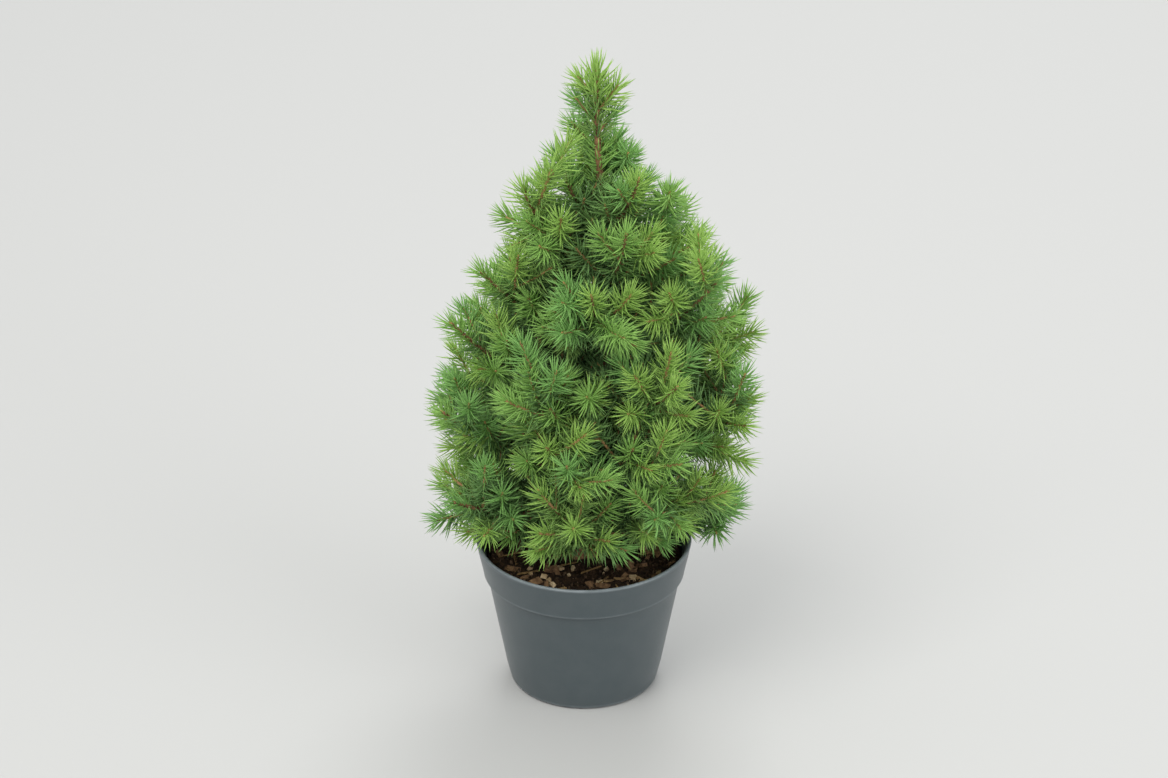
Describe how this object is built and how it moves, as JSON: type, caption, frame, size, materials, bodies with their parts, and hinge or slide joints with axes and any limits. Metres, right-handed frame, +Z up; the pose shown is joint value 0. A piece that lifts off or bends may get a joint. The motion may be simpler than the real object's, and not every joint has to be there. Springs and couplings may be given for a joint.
{
  "type": "potted dwarf alberta spruce",
  "caption": "Young dwarf conifer with a dense, narrow crown of short spiky needle shoots on a slim woody trunk, standing in potting soil in a small round tapered plastic pot.",
  "frame": {"origin": "centre of the pot's flat underside", "axes": "+Z straight up from the pot's underside along the pot's own axis, -Y towards the side the picture looks from"},
  "size_m": [0.1354, 0.1298, 0.2619],
  "materials": {
    "pot_plastic": "satin moulded plastic, anthracite grey",
    "potting_soil": "moist dark peat with bark chips, matte",
    "bark": "thin reddish-brown bark, matte",
    "needles": "fine green needles, lighter at the shoot tips, satin"
  },
  "bodies": {
    "root": {"bough_low_1": "bark", "bough_low_2": "bark", "bough_low_3": "bark", "bough_low_4": "bark", "bough_low_5": "bark", "bough_low_6": "bark", "bough_low_7": "bark", "bough_middle_1": "bark", "bough_middle_2": "bark", "bough_middle_3": "bark", "bough_middle_4": "bark", "bough_middle_5": "bark", "bough_middle_6": "bark", "bough_waist_1": "bark", "bough_waist_2": "bark", "bough_waist_3": "bark", "bough_waist_4": "bark", "bough_waist_5": "bark", "bough_waist_6": "bark", "bough_waist_7": "bark", "foliage_leader": "needles", "foliage_low_1": "needles", "foliage_low_2": "needles", "foliage_low_3": "needles", "foliage_low_4": "needles", "foliage_low_5": "needles", "foliage_low_6": "needles", "foliage_low_7": "needles", "foliage_middle_1": "needles", "foliage_middle_2": "needles", "foliage_middle_3": "needles", "foliage_middle_4": "needles", "foliage_middle_5": "needles", "foliage_middle_6": "needles", "foliage_shoulder_1": "needles", "foliage_shoulder_2": "needles", "foliage_shoulder_3": "needles", "foliage_shoulder_4": "needles", "foliage_top_1": "needles", "foliage_top_2": "needles", "foliage_top_3": "needles", "foliage_upper_1": "needles", "foliage_upper_2": "needles", "foliage_upper_3": "needles", "foliage_upper_4": "needles", "foliage_upper_5": "needles", "foliage_waist_1": "needles", "foliage_waist_2": "needles", "foliage_waist_3": "needles", "foliage_waist_4": "needles", "foliage_waist_5": "needles", "foliage_waist_6": "needles", "foliage_waist_7": "needles", "pot": "pot_plastic", "soil": "potting_soil", "trunk": "bark"}
  },
  "joints": []
}
